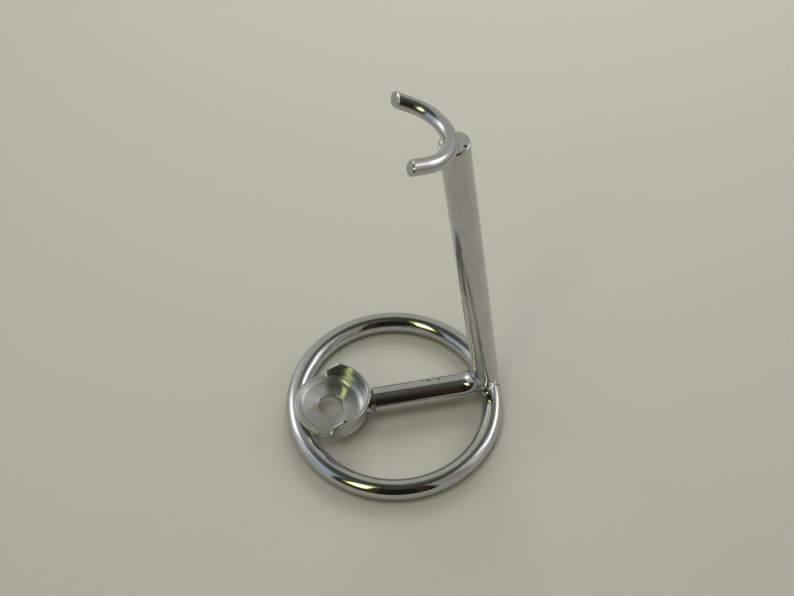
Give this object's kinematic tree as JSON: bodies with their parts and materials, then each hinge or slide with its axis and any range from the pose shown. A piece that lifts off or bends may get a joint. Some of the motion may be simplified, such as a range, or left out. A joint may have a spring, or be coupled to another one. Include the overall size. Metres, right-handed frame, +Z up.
{
  "type": "razor stand",
  "caption": "Chromed bar stand: a ring base, a bent bar that is both arm and leaning post, a cut-away drain cup for the handle and an open hook for the razor's neck.",
  "frame": {"origin": "centre of the base ring, on the surface it stands on", "axes": "+Z up, +X from the ring's centre toward the foot of the post, so the hook and the cup open toward -X"},
  "size_m": [0.0851, 0.085, 0.1549],
  "materials": {
    "plated_bar": "polished chrome plate on round steel bar",
    "plated_weld": "ground weld bead under chrome plate",
    "plated_cup": "chrome plate over fine turning marks",
    "plated_wire": "polished chrome plate on round steel bar",
    "plated_braze": "smooth braze under chrome plate"
  },
  "bodies": {
    "root": {"base_ring": "plated_bar", "ring_butt_weld": "plated_weld", "stand_rod": "plated_bar", "foot_braze": "plated_braze", "cup": "plated_cup", "cup_joint_braze": "plated_braze", "razor_hook": "plated_wire", "hook_braze": "plated_braze"}
  },
  "joints": []
}
